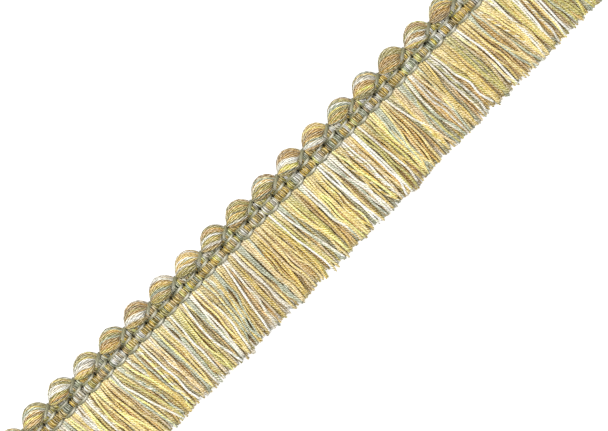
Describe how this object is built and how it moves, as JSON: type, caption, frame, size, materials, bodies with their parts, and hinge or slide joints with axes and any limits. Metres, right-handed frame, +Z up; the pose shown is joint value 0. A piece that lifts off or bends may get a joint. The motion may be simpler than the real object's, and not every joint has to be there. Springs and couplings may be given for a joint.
{
  "type": "fringe trim",
  "caption": "Cut length of brush fringe trim lying flat: wound-yarn loops along a knitted heading of two knot rows, with a loose cut skirt of mixed yarns.",
  "frame": {"origin": "on the heading's flat back, at mid length, under the middle stitch line", "axes": "+X along the trim, +Y towards the loops, +Z up off the surface it lies on"},
  "size_m": [0.2388, 0.0364, 0.0049],
  "materials": {
    "loop_yarn": "satin mixed yarn in gold, cream, sage and tan, wound side by side",
    "heading_yarn": "the same yarns bound down in knots by a fine grey-green thread",
    "fringe_yarn": "loose plied satin yarns, cut level at the tips",
    "binding_thread": "fine grey-green stitching thread"
  },
  "bodies": {
    "root": {"loop_01": "loop_yarn", "loop_02": "loop_yarn", "loop_03": "loop_yarn", "loop_04": "loop_yarn", "loop_05": "loop_yarn", "loop_06": "loop_yarn", "loop_07": "loop_yarn", "loop_08": "loop_yarn", "loop_09": "loop_yarn", "loop_10": "loop_yarn", "loop_11": "loop_yarn", "loop_12": "loop_yarn", "loop_13": "loop_yarn", "loop_14": "loop_yarn", "loop_15": "loop_yarn", "loop_16": "loop_yarn", "loop_17": "loop_yarn", "loop_18": "loop_yarn", "loop_19": "loop_yarn", "loop_20": "loop_yarn", "loop_21": "loop_yarn", "loop_22": "loop_yarn", "heading": "heading_yarn", "fringe_face": "fringe_yarn", "fringe_back": "fringe_yarn"}
  },
  "joints": []
}
